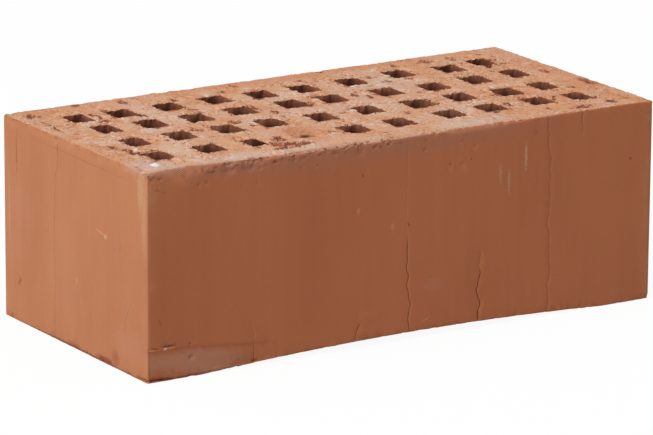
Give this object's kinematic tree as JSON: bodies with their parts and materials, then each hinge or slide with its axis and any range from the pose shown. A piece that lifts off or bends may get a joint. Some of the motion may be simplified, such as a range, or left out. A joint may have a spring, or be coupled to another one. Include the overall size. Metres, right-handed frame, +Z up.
{
  "type": "perforated clay brick",
  "caption": "Fired clay brick, a block pierced from bed to bed by rows of square perforations, laid on mortar to build walls.",
  "frame": {"origin": "under the middle of the brick, on the level of the lower bed", "axes": "+X along the stretcher face, +Y from the front stretcher face to the back one, +Z up through the perforations"},
  "size_m": [0.25, 0.12, 0.088],
  "materials": {
    "fired_clay": "dry matt fired clay, smooth die-drawn faces and rough wire-cut beds"
  },
  "bodies": {
    "root": {"brick": "fired_clay"}
  },
  "joints": []
}
